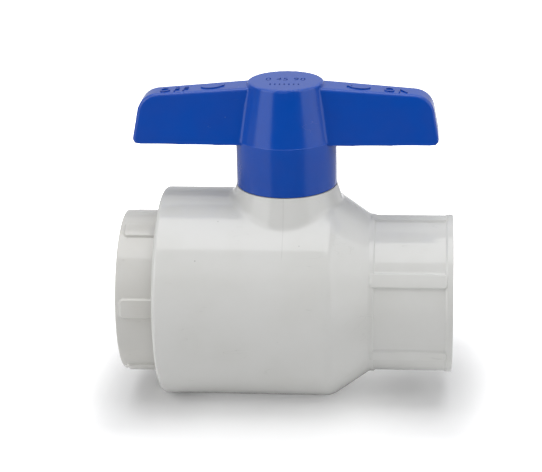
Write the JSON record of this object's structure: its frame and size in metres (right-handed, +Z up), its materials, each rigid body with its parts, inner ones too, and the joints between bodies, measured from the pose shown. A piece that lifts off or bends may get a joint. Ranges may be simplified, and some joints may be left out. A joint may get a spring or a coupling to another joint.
{
  "type": "ball valve",
  "caption": "Compact plastic quarter-turn ball valve with solvent-weld pipe sockets at both ends, a stepped white body and a blue T handle.",
  "frame": {"origin": "centre of the ball, where the pipe's axis meets the stem's axis", "axes": "+X along the pipe towards the outlet socket, +Z up the stem towards the handle, -Y towards the picture's camera"},
  "size_m": [0.087, 0.0554, 0.0859],
  "materials": {
    "white_plastic": "satin moulded white",
    "warm_white_plastic": "satin moulded warm white",
    "blue_plastic": "satin moulded blue",
    "seat_plastic": "waxy natural white",
    "stem_plastic": "moulded light grey",
    "black_rubber": "matt black"
  },
  "bodies": {
    "body": {"valve_body": "white_plastic", "end_connector": "warm_white_plastic", "inlet_seat": "seat_plastic", "outlet_seat": "seat_plastic", "inlet_seat_cushion": "black_rubber", "outlet_seat_cushion": "black_rubber", "connector_o_ring": "black_rubber", "stem_thrust_washer": "seat_plastic"},
    "handle_and_stem": {"handle": "blue_plastic", "stem": "stem_plastic", "lower_stem_o_ring": "black_rubber", "upper_stem_o_ring": "black_rubber"},
    "ball": {"ball": "white_plastic"}
  },
  "joints": [
    {"name": "handle_turn", "type": "hinge", "parent": "body", "child": "handle_and_stem", "pos_m": [0, 0, 0], "axis": [0, 0, -1], "range_deg": [0, 90]},
    {"name": "ball_turn", "type": "hinge", "parent": "body", "child": "ball", "pos_m": [0, 0, 0], "axis": [0, 0, -1], "range_deg": [0, 90]}
  ],
  "couplings": [
    {"joint": "ball_turn", "follows": "handle_turn", "ratio": 1}
  ]
}
